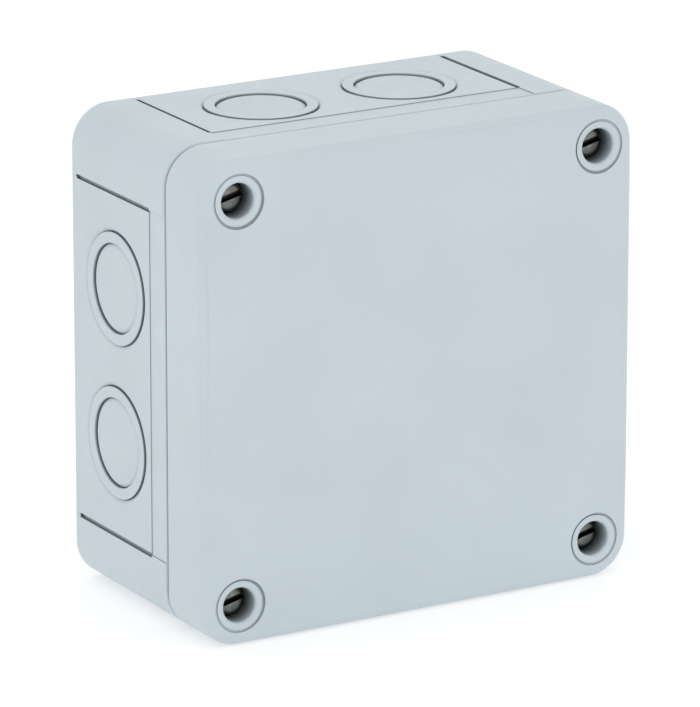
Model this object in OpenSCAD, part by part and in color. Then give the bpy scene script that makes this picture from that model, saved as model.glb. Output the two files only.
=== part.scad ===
// Square surface-mounting electrical junction box with a deep screw-down lid, two-stage
// knockouts on all four sides, and a rail of screw-clamp terminals inside.
// It stands on its lower side, lid towards -Y, wall face towards +Y, with the origin at the
// middle of its underside. Modules inside upright() use the box's own axes: x to the right,
// y up, and z out from the wall. Lengths are in millimetres.

/* [Enclosure] */
// Height and width of the square enclosure
size = 110; // [109:1:116]
// Overall depth, from the wall face to the front of the lid
depth = 60; // [60:0.5:66]
// Depth of the lid
lid_depth = 17; // [16.5:0.5:17.5]
// Radius of the four long corners
corner_r = 9; // [8.5:0.5:10]
// Rounding of the lid's front edge
front_edge_r = 2; // [1:0.25:2.5]
// Rounding of the back edge
back_edge_r = 1; // [0.5:0.25:1.5]
// Thickness of the moulded walls, floor and lid
wall = 3; // [2.9:0.1:3.2]
// Gap that shows between the lid and the base
seam = 0.3; // [0.2:0.05:0.4]

/* [Knockouts] */
// Radius of the outer stage, for an M25 gland
knock_outer_r = 12.75; // [12.5:0.05:13]
// Radius of the inner stage, for an M20 gland
knock_inner_r = 10.25; // [10:0.05:10.5]
// Distance between the two knockouts of a side
knock_pitch = 35.6; // [35:0.2:38]
// Height of the knockouts' centres above the wall face
knock_height = 20; // [19.5:0.25:20.5]
// Half the length of the flat panel around them
panel_half = 40; // [39:0.5:41]
// Depth of that panel below the side wall
panel_recess = 0.15; // [0.1:0.05:0.2]

/* [Cover screws] */
// Distance of the screws from the two nearest sides
screw_inset = 9.2; // [9:0.1:9.5]
// Radius of the shallow seat around each screw
seat_r = 6.2; // [5.8:0.1:6.4]
// Radius of the deep recess that the screw head sits in
recess_r = 3.95; // [3.9:0.05:4.1]
// Depth of that recess below the lid's front
recess_depth = 9; // [8.5:0.25:9.25]
// Angle of the screws' slots
slot_angle = 14; // [0:1:90]

/* [Terminals] */
// Distance from one terminal to the next along the rail
terminal_pitch = 8.2; // [8.2:0.1:8.8]
// Length of the mounting rail
rail_length = 80; // [78:1:86]

/* [Hidden] */
$fn = 64;

shell_colour = "#c5d2d8";
gasket_colour = "#55595b";
steel_colour = "#b9bcbc";
brass_colour = "#c9a64c";
copper_colour = "#c98a5b";
clamp_colour = "#9aa0a3";
terminal_colours = ["#8f9496", "#8f9496", "#8f9496", "#3f78b5", "#5f9a3f"];
bracket_colour = "#7c8184";

cut = 1;          // how far a cutting solid runs past the face that it opens
CORNERS = [[-1, 1], [1, 1], [-1, -1], [1, -1]];
CORNER_NAMES = ["top_left", "top_right", "bottom_left", "bottom_right"];
TERMINALS = ["l1", "l2", "l3", "n", "pe"];
TERMINAL_PIECES = ["housing", "busbar", "upper_cage", "lower_cage", "upper_screw", "lower_screw"];
PE = len(TERMINALS) - 1;

// Enclosure, along z
base_top = depth - lid_depth - seam / 2;
lid_bottom = base_top + seam;
lid_inner = depth - wall;
screw_reach = size / 2 - screw_inset;
pad_r = 7.6;              // corner block around each cover screw, as seen from inside

// Seal: a tongue on the base enters a groove in the lid, with the gasket at its bottom.
// Distances are from the inner face of the wall, positive towards the inside of the box.
tongue = [-1.5, -0.3];
groove = [-1.8, 0];
tongue_top = base_top + 3.35;
gasket_bottom = tongue_top + 0.3;
gasket_top = gasket_bottom + 1.5;
gasket_gap = 0.05;
rib_width = 1.2;          // inner wall of the groove
rib_top = gasket_top + 2;

// Knockouts
panel_front = 36;         // the panel runs out at the wall face
line_back = 2.5;
line_width = 1;           // groove along both ends of a panel
line_depth = 0.8;
rim_recess = 0.22;        // band between the panel and the lid, below the side wall
disc_recess = 0.4;        // inner stage, below the side wall
groove_width = 1;         // groove around each stage, upright on the ring's side only
outer_groove_depth = 0.7; // below the side wall
inner_groove_depth = 0.9;
score_width = 0.8;        // grooves on the inside that let a stage break out
inner_score_depth = 1.3;
outer_score_depth = 1.7;

// Cover screws and the brass inserts that they enter
recess_floor = depth - recess_depth;
seat_depth = 0.5;
thread_r = 1.95;
neck_r = 1.5;
neck_hole_r = 1.8;
neck_wall = 3;            // lid material that the head pulls against
thread_relief_r = 3.2;
head_r = 3.5;
head_height = 3;
head_edge = 0.4;
head_bottom = recess_floor + 1.2;
head_top = head_bottom + head_height;
slot_width = 1.4;
slot_depth = 1.6;
seal_ring_r = 0.55;       // rubber ring under each head
seal_mid_r = 2.15;
insert_r = 3.2;
insert_bore_r = 2;
insert_length = 12;
screw_travel = 9;         // how far a screw backs out before the lid stops it
insert_top = recess_floor - neck_wall - screw_travel;
insert_bottom = insert_top - insert_length;
thread_length = 9;
thread_top = insert_top;
thread_bottom = thread_top - thread_length;
core_r = 4.5;             // hollow behind each corner block, open to the wall face
core_depth = 22;

// Holes for fixing to the wall, each in a cup that a cap closes
fixing_spacing = [70, 89];
fixing_hole_r = 2.4;
cup_r = 4.6;
cup_wall = 1.3;
cup_top = wall + 5.4;
cap_height = 1.5;
cap_gap = 0.05;

// Rail, 35 mm wide and 7.5 mm high, on two bosses
rail_bottom = wall + 5;
rail_t = 1;
rail_height = 7.5;
rail_top = rail_bottom + rail_height;
rail_half = 17.5;
channel_half = 13.5;
boss_r = 4.5;
rail_screw_x = 33;
rail_slots = [-33, -11, 11, 33];
rail_slot_r = 2.3;
rail_slot_length = 12;
rail_screw_r = 2;
rail_screw_hole_r = 2.05;
rail_head_r = 4;
rail_head_height = 2.6;
rail_screw_bottom = wall + 1;

// Terminals, measured across the rail (y) and out from the wall (z)
housing_w = 8;
housing_half = 21;
housing_bottom = rail_top + 0.1;
housing_top = rail_top + 29.5;
housing_shoulder = rail_top + 20.5;
crown_half = 15.5;        // the two raised parts of its top, with a marker seat between them
seat_half = [6, 8];
marker_seat_depth = 4;
foot_clear = 0.2;
foot_t = 1.8;
foot_hook = 2.1;          // how far each foot reaches under the rail
foot_drop = 3;
foot_rise = 2.5;
clamp_y = 12;             // distance of each clamp from the middle of the rail
chamber_x = -3.3;
chamber_half = 3.5;
chamber_z = [rail_top + 7.7, rail_top + 23.5];
bar_z = [rail_top + 14.5, rail_top + 16.1];
bar_half_w = 2;
bar_half_l = 15.2;
bar_play = 0.1;
cage_half_w = 3;
cage_half_l = 3;
cage_z = [rail_top + 8.1, rail_top + 18.6];
cage_opening_half = 2.3;
cage_opening_z = [rail_top + 9.3, rail_top + 16.4];
clamp_screw_r = 1.75;
clamp_hole_r = 1.8;
clamp_head_r = 2.7;
clamp_head_z = [rail_top + 24.8, rail_top + 27.5];
clamp_slot_width = 0.8;
clamp_slot_depth = 1.3;
web_hole_r = 2;
driver_hole_r = 3;
wire_z = (cage_opening_z[0] + bar_z[0]) / 2;
wire_hole_r = 1.9;
wire_mouth_r = 3;
wire_mouth_depth = 2;
bridge_hole_r = 1.6;
foot_plate_half = 16.5;
foot_plate_t = 1.3;
earth_post_half = 3;
end_plate_t = 1.4;
bracket_w = 7.6;
bracket_top = rail_top + 17;
bracket_top_half = 12;
bracket_shoulder = rail_top + 8;
bracket_half = 20;
part_gap = 0.1;

// ---- Shared shapes ----

// Stands the box's own axes up: z, out from the wall, becomes -Y
module upright() translate([0, depth / 2, size / 2]) rotate([90, 0, 0]) children();

module at_corner(c) translate([c.x, c.y] * screw_reach) children();

module at_corners() for (c = CORNERS) at_corner(c) children();

module at_fixings()
    for (c = CORNERS) translate([c.x * fixing_spacing.x, c.y * fixing_spacing.y] / 2) children();

// A cylinder from z[0] to z[1]
module rod(r, z) translate([0, 0, z[0]]) cylinder(r = r, h = z[1] - z[0]);

// A box given by its lowest and highest corners
module block(low, high) translate(low) cube(high - low);

// A ring around z, standing between z[0] and z[1]
module ring(inner, outer, z) difference() {
    rod(outer, z);
    rod(inner, [z[0] - cut, z[1] + cut]);
}

// Extrudes an outline drawn in y and z along x, centred
module along_x(length) rotate([90, 0, 90]) linear_extrude(length, center = true) children();

module edge_profile(r, h, e) {
    square([r, h - e]);
    square([r - e, h]);
    translate([r - e, h - e]) circle(e);
}

// A square slab of height h with corner radius r and its upper edge rounded by e
module rounded_slab(w, r, h, e) {
    block([r - w / 2, r - w / 2, 0], [w / 2 - r, w / 2 - r, h]);
    for (a = [0:90:270]) rotate(a) translate([w / 2 - r, w / 2 - r, 0]) {
        rotate_extrude(angle = 90) edge_profile(r, h, e);
        rotate([90, 0, 0]) linear_extrude(w - 2 * r) edge_profile(r, h, e);
    }
}

// Outline of the inside of the box, t in from the wall's inner face, clear of the corner blocks
module inner_outline(t) {
    r = pad_r + t;
    big = size / 2;
    difference() {
        square(size - 2 * (wall + t), center = true);
        for (c = CORNERS) {
            at_corner(c) circle(r);
            translate([c.x * (screw_reach - r + big / 2), c.y * (screw_reach + big / 2)])
                square(big, center = true);
            translate([c.x * (screw_reach + big / 2), c.y * (screw_reach - r + big / 2)])
                square(big, center = true);
        }
    }
}

// A band that follows that outline between two distances, from z[0] to z[1]
module seal_band(t, z) translate([0, 0, z[0]]) linear_extrude(z[1] - z[0]) difference() {
    inner_outline(t[0]);
    inner_outline(t[1]);
}

// ---- Enclosure ----

// The two knockouts of the side facing +x: z runs outward from the wall's outer face
module at_knockouts()
    for (s = [-1, 1]) translate([size / 2, s * knock_pitch / 2, knock_height])
        rotate([0, 90, 0]) children();

// What is cut from the side facing +x: the panel, the band in front of it, its end lines, and
// the knockouts' stages
module side_relief() {
    outside = size / 2 + cut;
    difference() {
        block([size / 2 - panel_recess, -panel_half, -cut], [outside, panel_half, panel_front]);
        at_knockouts() rod(knock_outer_r, [-wall, 2 * cut]);
    }
    block([size / 2 - rim_recess, -panel_half, panel_front], [outside, panel_half, base_top + cut]);
    for (s = [-1, 1]) {
        middle = s * (panel_half - line_width / 2);
        block([size / 2 - line_depth, middle - line_width / 2, line_back],
              [outside, middle + line_width / 2, panel_front]);
    }
    at_knockouts() {
        rod(knock_inner_r, [-disc_recess, cut]);
        sloped_groove(knock_inner_r, -groove_width, inner_groove_depth, disc_recess);
        sloped_groove(knock_outer_r, groove_width, outer_groove_depth, panel_recess);
        score(knock_inner_r, inner_score_depth);
        score(knock_outer_r, outer_score_depth);
    }
}

module sloped_groove(r, width, deep, surface)
    rotate_extrude() polygon([[r, -deep], [r + width, -surface], [r + width, cut], [r, cut]]);

module score(r, deep)
    ring(r - score_width / 2, r + score_width / 2, [-wall - cut, deep - wall]);

module base_shell() color(shell_colour) upright() difference() {
    union() {
        difference() {
            translate([0, 0, base_top]) mirror([0, 0, 1])
                rounded_slab(size, corner_r, base_top, back_edge_r);
            translate([0, 0, wall]) linear_extrude(base_top) inner_outline(0);
        }
        seal_band(tongue, [base_top - cut, tongue_top]);
        at_fixings() rod(cup_r + cup_wall, [wall - cut, cup_top]);
        for (x = [-1, 1] * rail_screw_x) translate([x, 0]) rod(boss_r, [wall - cut, rail_bottom]);
    }
    for (a = [0:90:270]) rotate(a) side_relief();
    at_fixings() {
        rod(cup_r, [wall, cup_top + cut]);
        rod(fixing_hole_r, [-cut, wall + cut]);
    }
    for (x = [-1, 1] * rail_screw_x)
        translate([x, 0]) rod(rail_screw_hole_r, [wall + 0.5, rail_bottom + cut]);
    at_corners() {
        rod(insert_r, [insert_bottom, base_top + cut]);
        rod(thread_r + 0.3, [insert_bottom - 2, insert_bottom + cut]);
        rod(core_r, [-cut, core_depth]);
    }
}

module lid_shell() color(shell_colour) upright() difference() {
    translate([0, 0, lid_bottom])
        rounded_slab(size, corner_r, depth - lid_bottom, front_edge_r);
    translate([0, 0, lid_bottom - cut])
        linear_extrude(rib_top - lid_bottom + cut) inner_outline(rib_width);
    translate([0, 0, rib_top]) linear_extrude(lid_inner - rib_top) inner_outline(0);
    seal_band(groove, [lid_bottom - cut, gasket_top]);
    at_corners() {
        rod(thread_relief_r, [lid_bottom - cut, recess_floor - neck_wall]);
        rod(neck_hole_r, [recess_floor - neck_wall - cut, recess_floor + cut]);
        rod(recess_r, [recess_floor, depth + cut]);
        rod(seat_r, [depth - seat_depth, depth + cut]);
    }
}

module lid_gasket() color(gasket_colour) upright()
    seal_band([groove[0] + gasket_gap, groove[1] - gasket_gap], [gasket_bottom, gasket_top]);

module threaded_inserts() color(brass_colour) upright()
    at_corners() ring(insert_bore_r, insert_r, [insert_bottom, insert_top]);

module fixing_hole_caps() color(shell_colour) upright()
    at_fixings() rod(cup_r - cap_gap, [cup_top - cap_height, cup_top]);

// Captive: a thin neck above the thread lets the screw back out of the insert but not the lid
module cover_screw(i) color(steel_colour) upright() at_corner(CORNERS[i]) difference() {
    union() {
        rod(thread_r, [thread_bottom, thread_top]);
        rod(neck_r, [thread_top - cut, head_bottom + cut]);
        rod(head_r, [head_bottom, head_top - head_edge]);
        translate([0, 0, head_top - head_edge])
            cylinder(r1 = head_r, r2 = head_r - head_edge, h = head_edge);
    }
    rotate(slot_angle) block([-head_r - cut, -slot_width / 2, head_top - slot_depth],
                             [head_r + cut, slot_width / 2, head_top + cut]);
}

module screw_seal(i) color(gasket_colour) upright() at_corner(CORNERS[i])
    translate([0, 0, (recess_floor + head_bottom) / 2])
        rotate_extrude() translate([seal_mid_r, 0]) circle(seal_ring_r);

// ---- Rail ----

module mounting_rail() color(steel_colour) upright() difference() {
    along_x(rail_length) polygon([
        [-rail_half, rail_top - rail_t], [-channel_half, rail_top - rail_t],
        [-channel_half, rail_bottom], [channel_half, rail_bottom],
        [channel_half, rail_top - rail_t], [rail_half, rail_top - rail_t],
        [rail_half, rail_top], [channel_half - rail_t, rail_top],
        [channel_half - rail_t, rail_bottom + rail_t], [rail_t - channel_half, rail_bottom + rail_t],
        [rail_t - channel_half, rail_top], [-rail_half, rail_top]
    ]);
    reach = rail_slot_length / 2 - rail_slot_r;
    z = [rail_bottom - cut, rail_bottom + rail_t + cut];
    for (x = rail_slots) translate([x, 0]) {
        for (s = [-1, 1]) translate([s * reach, 0]) rod(rail_slot_r, z);
        block([-reach, -rail_slot_r, z[0]], [reach, rail_slot_r, z[1]]);
    }
}

module rail_screws() color(steel_colour) upright() {
    head = [rail_bottom + rail_t, rail_bottom + rail_t + rail_head_height];
    for (x = [-1, 1] * rail_screw_x) translate([x, 0]) difference() {
        union() {
            rod(rail_screw_r, [rail_screw_bottom, head[0] + cut]);
            rod(rail_head_r, head);
        }
        block([-rail_head_r - cut, -slot_width / 2, head[1] - slot_depth],
              [rail_head_r + cut, slot_width / 2, head[1] + cut]);
    }
}

// ---- Terminals ----

function terminal_x(i) = (i - (len(TERMINALS) - 1) / 2) * terminal_pitch;
group_right = terminal_x(PE) + housing_w / 2;

module at_terminal(i) translate([terminal_x(i), 0, 0]) children();

// Outline of the feet that grip the rail, with a body of the given outline above them
module clipped_outline(half, body) {
    low = rail_top - foot_drop;
    under = rail_top - rail_t - foot_clear;
    inner = rail_half - foot_hook;
    grip = rail_half + foot_clear;
    polygon(concat(
        [[-half, rail_top + foot_rise], [-grip - foot_t, low], [-inner, low], [-inner, under],
         [-grip, under], [-grip, housing_bottom], [grip, housing_bottom], [grip, under],
         [inner, under], [inner, low], [grip + foot_t, low], [half, rail_top + foot_rise]],
        body
    ));
}

module housing_outline() clipped_outline(housing_half, [
    [housing_half, housing_shoulder], [crown_half, housing_top], [seat_half[1], housing_top],
    [seat_half[0], housing_top - marker_seat_depth], [-seat_half[0], housing_top - marker_seat_depth],
    [-seat_half[1], housing_top], [-crown_half, housing_top], [-housing_half, housing_shoulder]
]);

// Open on its right-hand face, which the next terminal or the end plate closes
module terminal_housing(i) color(terminal_colours[i]) upright() at_terminal(i) difference() {
    along_x(housing_w) housing_outline();
    open = housing_w / 2 + cut;
    for (s = [-1, 1]) translate([0, s * clamp_y, 0]) {
        block([chamber_x, -chamber_half, chamber_z[0]], [open, chamber_half, chamber_z[1]]);
        rod(web_hole_r, [chamber_z[1] - cut, clamp_head_z[0]]);
        rod(driver_hole_r, [clamp_head_z[0] - part_gap, housing_top + cut]);
        translate([0, 0, wire_z]) rotate([-s * 90, 0, 0]) {
            rod(wire_hole_r, [chamber_half - cut, housing_half]);
            translate([0, 0, housing_half - clamp_y - wire_mouth_depth])
                cylinder(r1 = wire_hole_r, r2 = wire_mouth_r, h = wire_mouth_depth + part_gap);
        }
    }
    block([-bar_half_w, -bar_half_l - bar_play, bar_z[0] - bar_play],
          [open, bar_half_l + bar_play, bar_z[1] + bar_play]);
    rod(bridge_hole_r, [bar_z[0], housing_top + cut]);
    if (i == PE) {
        block([-bar_half_w, -foot_plate_half - bar_play, rail_top - cut],
              [open, foot_plate_half + bar_play, rail_top + foot_plate_t + bar_play]);
        block([-bar_half_w, -earth_post_half - bar_play, rail_top],
              [open, earth_post_half + bar_play, bar_z[0]]);
    }
}

module terminal_busbar(i) color(copper_colour) upright() at_terminal(i) difference() {
    block([-bar_half_w, -bar_half_l, bar_z[0]], [bar_half_w, bar_half_l, bar_z[1]]);
    rod(bridge_hole_r, [bar_z[0] - cut, bar_z[1] + cut]);
}

// Rising cage: the screw draws it up and presses the wire against the underside of the busbar
module terminal_cage(i, s) color(clamp_colour) upright() at_terminal(i)
    translate([0, s * clamp_y, 0]) difference() {
        block([-cage_half_w, -cage_half_l, cage_z[0]], [cage_half_w, cage_half_l, cage_z[1]]);
        block([-cage_opening_half, -cage_half_l - cut, cage_opening_z[0]],
              [cage_opening_half, cage_half_l + cut, cage_opening_z[1]]);
        rod(clamp_hole_r, [cage_opening_z[1] - cut, cage_z[1] + cut]);
    }

// Turns in place: its tip stands on the busbar and its head on the housing
module terminal_screw(i, s) color(steel_colour) upright() at_terminal(i)
    translate([0, s * clamp_y, 0]) difference() {
        union() {
            rod(clamp_screw_r, [bar_z[1] + 1.5 * part_gap, clamp_head_z[0] + cut]);
            rod(clamp_head_r, clamp_head_z);
        }
        rotate(slot_angle)
            block([-clamp_head_r - cut, -clamp_slot_width / 2, clamp_head_z[1] - clamp_slot_depth],
                  [clamp_head_r + cut, clamp_slot_width / 2, clamp_head_z[1] + cut]);
    }

// Bonds the earth terminal's busbar to the rail
module earth_foot() color(brass_colour) upright() at_terminal(PE) {
    block([-bar_half_w, -foot_plate_half, rail_top],
          [bar_half_w, foot_plate_half, rail_top + foot_plate_t]);
    block([-bar_half_w, -earth_post_half, rail_top], [bar_half_w, earth_post_half, bar_z[0]]);
}

module end_plate() color(bracket_colour) upright()
    translate([group_right + part_gap + end_plate_t / 2, 0, 0]) along_x(end_plate_t) housing_outline();

module end_bracket(x) color(bracket_colour) upright() translate([x, 0, 0])
    along_x(bracket_w) clipped_outline(bracket_half, [
        [bracket_half, bracket_shoulder], [bracket_top_half, bracket_top],
        [-bracket_top_half, bracket_top], [-bracket_half, bracket_shoulder]
    ]);

module left_end_bracket() end_bracket(terminal_x(0) - housing_w / 2 - part_gap - bracket_w / 2);

module right_end_bracket()
    end_bracket(group_right + 2 * part_gap + end_plate_t + bracket_w / 2);

// ---- The assembly ----

base_shell();
lid_shell();
lid_gasket();
threaded_inserts();
fixing_hole_caps();
mounting_rail();
rail_screws();
end_plate();
left_end_bracket();
right_end_bracket();
earth_foot();
for (i = [0:3]) {
    cover_screw(i);
    screw_seal(i);
}
for (i = [0:PE]) {
    name = str("terminal_", TERMINALS[i], "_");
    terminal_housing(i);
    terminal_busbar(i);
    terminal_cage(i, 1);
    terminal_cage(i, -1);
    terminal_screw(i, 1);
    terminal_screw(i, -1);
}
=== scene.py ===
import math

import bmesh
import bpy
from mathutils import Matrix, Vector


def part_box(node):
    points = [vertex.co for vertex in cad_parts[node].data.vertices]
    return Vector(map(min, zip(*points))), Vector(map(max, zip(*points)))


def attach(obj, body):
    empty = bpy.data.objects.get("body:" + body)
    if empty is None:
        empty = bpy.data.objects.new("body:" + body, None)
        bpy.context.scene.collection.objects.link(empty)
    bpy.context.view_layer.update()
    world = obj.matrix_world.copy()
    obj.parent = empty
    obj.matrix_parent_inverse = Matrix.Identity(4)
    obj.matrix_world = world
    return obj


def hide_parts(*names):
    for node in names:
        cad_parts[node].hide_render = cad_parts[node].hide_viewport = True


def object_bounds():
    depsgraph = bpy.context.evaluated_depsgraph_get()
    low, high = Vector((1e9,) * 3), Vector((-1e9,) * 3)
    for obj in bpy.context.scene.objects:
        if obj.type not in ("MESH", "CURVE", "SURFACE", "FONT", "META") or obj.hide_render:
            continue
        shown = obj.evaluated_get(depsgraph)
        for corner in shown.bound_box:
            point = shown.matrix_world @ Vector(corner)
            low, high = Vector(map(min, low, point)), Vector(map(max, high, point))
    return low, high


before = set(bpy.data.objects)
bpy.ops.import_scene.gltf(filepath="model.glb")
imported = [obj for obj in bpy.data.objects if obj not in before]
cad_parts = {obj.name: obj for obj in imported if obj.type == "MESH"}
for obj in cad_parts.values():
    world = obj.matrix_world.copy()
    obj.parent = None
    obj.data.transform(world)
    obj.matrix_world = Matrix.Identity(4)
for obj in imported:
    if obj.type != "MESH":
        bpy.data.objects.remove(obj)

cad_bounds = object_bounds()

# The box is modelled in its own axes, in millimetres: x to the right, y up, and z out from the wall.
# UPRIGHT stands it up in the frame: z becomes -Y, and millimetres become metres.
MM = 0.001
BACK = cad_bounds[1].y / MM
MIDDLE = (cad_bounds[0].z + cad_bounds[1].z) / 2 / MM
UPRIGHT = Matrix.Scale(MM, 4) @ Matrix.Translation((0, BACK, MIDDLE)) @ Matrix.Rotation(math.pi / 2, 4, "X")
QUARTER = math.pi / 2


def own_box(node):
    """Lowest and highest corner of a CAD node, in the box's own axes, in mm."""
    low, high = (UPRIGHT.inverted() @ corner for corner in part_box(node))
    return Vector(map(min, low, high)), Vector(map(max, low, high))


def own_middle(node):
    low, high = own_box(node)
    return (low + high) / 2


# ---- Sizes, from the frame and from the design ----

lid_low, lid_high = own_box("lid_shell")
SIZE = lid_high.x - lid_low.x
DEPTH = lid_high.z
LID_BOTTOM = lid_low.z + 0.2
SEAM = 0.7                 # the joint as drawn; the CAD's is 0.3, too narrow to show as a dark line
BASE_TOP = LID_BOTTOM - SEAM
WALL = 3
CORNER_R = 9
FRONT_EDGE = 2
BACK_EDGE = 1
CROWN = 0.9                # how far the lid's front falls away at its four corners
PAD_R = 7.6                # corner block around each cover screw, as seen from inside
SCREW_REACH = own_middle("cover_screw_top_right").x

PANEL_HALF = 40
PANEL_FRONT = 36
PANEL_RECESS = 0.15
RIM_RECESS = 0.22          # band between the panel and the lid
LINE_BACK = 2.5
END_LINE_WIDTH, END_LINE_DEPTH = 1.0, 0.8
KNOCK_PITCH, KNOCK_HEIGHT = 35.6, 20
KNOCK_OUTER_R, KNOCK_INNER_R = 12.75, 10.25
DISC_RECESS = 0.4
GROOVE_WIDTH = 1.0         # groove around each knockout stage, upright on the ring's side only
OUTER_GROOVE_FLOOR, INNER_GROOVE_FLOOR = -0.7, -0.9

SEAT_R, SEAT_Z = 6.2, DEPTH - 0.64
RECESS_R, RECESS_FLOOR = 3.95, DEPTH - 9
NECK_HOLE_R, NECK_WALL = 1.8, 3
RELIEF_R = 3.2

TERMINALS = ["l1", "l2", "l3", "n", "pe"]
CORNERS = {"top_left": (-1, 1), "top_right": (1, 1), "bottom_left": (-1, -1), "bottom_right": (1, -1)}
QUADRANTS = list(CORNERS.values())


# ---- Outlines: lists of points in a plane ----

def rounded(corners, steps=6, closed=True):
    """An outline through (x, y, radius) corners, each rounded by an arc of that radius."""
    points = []
    last = len(corners) - 1
    for i, (x, y, r) in enumerate(corners):
        here = Vector((x, y))
        if r == 0 or (not closed and i in (0, last)):
            points.append(here)
            continue
        before = (Vector(corners[i - 1][:2]) - here).normalized()
        after = (Vector(corners[(i + 1) % len(corners)][:2]) - here).normalized()
        half = before.angle(after) / 2
        centre = here + (before + after).normalized() * (r / math.sin(half))
        start = here + before * (r / math.tan(half)) - centre
        end = here + after * (r / math.tan(half)) - centre
        first = math.atan2(start.y, start.x)
        turn = (math.atan2(end.y, end.x) - first + math.pi) % (2 * math.pi) - math.pi
        for k in range(steps + 1):
            angle = first + turn * k / steps
            points.append(centre + Vector((math.cos(angle), math.sin(angle))) * r)
    return points


def rectangle(low, high, r, steps=6):
    (x0, y0), (x1, y1) = low, high
    return rounded([(x0, y0, r), (x1, y0, r), (x1, y1, r), (x0, y1, r)], steps)


def circle(r, steps=48):
    return [Vector((math.cos(a), math.sin(a))) * r for a in (2 * math.pi * k / steps for k in range(steps))]


def shifted(outline, x, y):
    return [p + Vector((x, y)) for p in outline]


def inset(outline, by):
    """The outline moved inward by that much; its points run anticlockwise."""
    moved = []
    for i, here in enumerate(outline):
        into = (here - outline[i - 1]).normalized()
        out = (outline[(i + 1) % len(outline)] - here).normalized()
        normal = Vector((-into.y - out.y, into.x + out.x)).normalized()
        lean = max(0.3, normal.dot(Vector((-into.y, into.x))))
        moved.append(here + normal * (by / lean))
    return moved


def divided(outline, longest):
    """The outline with extra points along its long straight stretches."""
    points = []
    for i, here in enumerate(outline):
        after = outline[(i + 1) % len(outline)]
        parts = max(1, math.ceil((after - here).length / longest))
        points += [here.lerp(after, k / parts) for k in range(parts)]
    return points


# ---- Solids: rows of points that are skinned into closed meshes ----

def at(outline, z):
    return [Vector((p.x, p.y, z)) for p in outline]


def arc(steps, last=90):
    return [math.radians(last) * k / steps for k in range(steps + 1)]


def slab(outline, z0, z1, bottom=0.0, top=0.0, steps=4):
    """Rows of a plate from z0 to z1, with its edges rounded by those radii."""
    low = [at(inset(outline, bottom * (1 - math.sin(a))), z0 + bottom * (1 - math.cos(a)))
           for a in arc(steps)]
    high = [at(inset(outline, top * (1 - math.cos(a))), z1 - top * (1 - math.sin(a)))
            for a in arc(steps)]
    return (low if bottom else low[-1:]) + (high if top else high[:1])


def pocket(outline, floor, surface, fillet=0.0, lip=0.0, side=1, over=1.0):
    """Rows of a cutter for a pocket whose floor has a fillet and whose mouth has a rounded lip.
    With side -1 they are those of a post that is left standing, with its top edge rounded."""
    rows = slab(outline, floor, surface - lip, bottom=fillet)
    for a in arc(3, 75)[1:]:
        rows.append(at(inset(outline, side * -lip * (1 - math.cos(a))), surface - lip * (1 - math.sin(a))))
    if lip:
        wide = inset(outline, side * -(lip + 0.25))
        rows += [at(wide, surface + 0.05), at(wide, surface + over)]
    else:
        rows.append(at(outline, surface + over))
    return rows


def turned(profile, steps=48, x=0.0, y=0.0):
    """Rows of a solid of revolution about z, through (radius, z) points."""
    return [at(shifted(circle(p[0], steps), x, y), p[1]) for p in profile]


def threaded(root, crest, pitch, z0, z1, steps=20, rows_per_turn=8):
    """Rows of a threaded rod: its radius follows a helix, and fades to the root at both ends."""
    count = math.ceil((z1 - z0) / pitch * rows_per_turn)
    rows = []
    for k in range(count + 1):
        z = z0 + (z1 - z0) * k / count
        fade = min(1.0, (z - z0) / pitch, (z1 - z) / pitch)
        row = []
        for i in range(steps):
            phase = (z / pitch - i / steps) % 1
            height = min(1.0, 1.6 * abs(2 * phase - 1)) * fade
            r = root + (crest - root) * height
            angle = 2 * math.pi * i / steps
            row.append(Vector((r * math.cos(angle), r * math.sin(angle), z)))
        rows.append(row)
    return rows


def placed(rows, matrix):
    return [[matrix @ p for p in row] for row in rows]


def moved(rows, x=0.0, y=0.0, z=0.0):
    return placed(rows, Matrix.Translation((x, y, z)))


def along_x(rows, x=0.0):
    """Turns rows drawn in a plane and stacked along z: the plane becomes y-z and the stack runs along x."""
    turn = Matrix(((0, 0, 1, x), (1, 0, 0, 0), (0, 1, 0, 0), (0, 0, 0, 1)))
    return placed(rows, turn)


def skin(bm, rows, hoop=False):
    """Skins rows of points into one closed solid. A hoop joins its last row to its first."""
    made = [[bm.verts.new(p) for p in row] for row in rows]
    pairs = list(zip(made, made[1:]))
    if hoop:
        pairs.append((made[-1], made[0]))
    faces = []
    for low, high in pairs:
        faces += [bm.faces.new((low[i - 1], low[i], high[i], high[i - 1])) for i in range(len(low))]
    if not hoop:
        faces += [bm.faces.new(reversed(made[0])), bm.faces.new(made[-1])]
    bmesh.ops.recalc_face_normals(bm, faces=faces)


def solid(name, parts=(), hoops=()):
    """One object from lists of rows, which must not touch each other."""
    bm = bmesh.new()
    for rows in parts:
        skin(bm, rows)
    for rows in hoops:
        skin(bm, rows, hoop=True)
    mesh = bpy.data.meshes.new(name)
    bm.to_mesh(mesh)
    bm.free()
    made = bpy.data.objects.new(name, mesh)
    bpy.context.scene.collection.objects.link(made)
    return made


def combine(body, tool, operation):
    change = body.modifiers.new(operation, "BOOLEAN")
    change.operation = operation
    change.solver = "MANIFOLD"
    change.object = tool
    depsgraph = bpy.context.evaluated_depsgraph_get()
    mesh = bpy.data.meshes.new_from_object(body.evaluated_get(depsgraph))
    body.modifiers.clear()
    old, body.data = body.data, mesh
    bpy.data.meshes.remove(old)
    used = tool.data
    bpy.data.objects.remove(tool)
    bpy.data.meshes.remove(used)
    return body


def cut(body, parts=(), hoops=()):
    return combine(body, solid("cutter", parts, hoops), "DIFFERENCE")


def add(body, parts=(), hoops=()):
    return combine(body, solid("addition", parts, hoops), "UNION")


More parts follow.
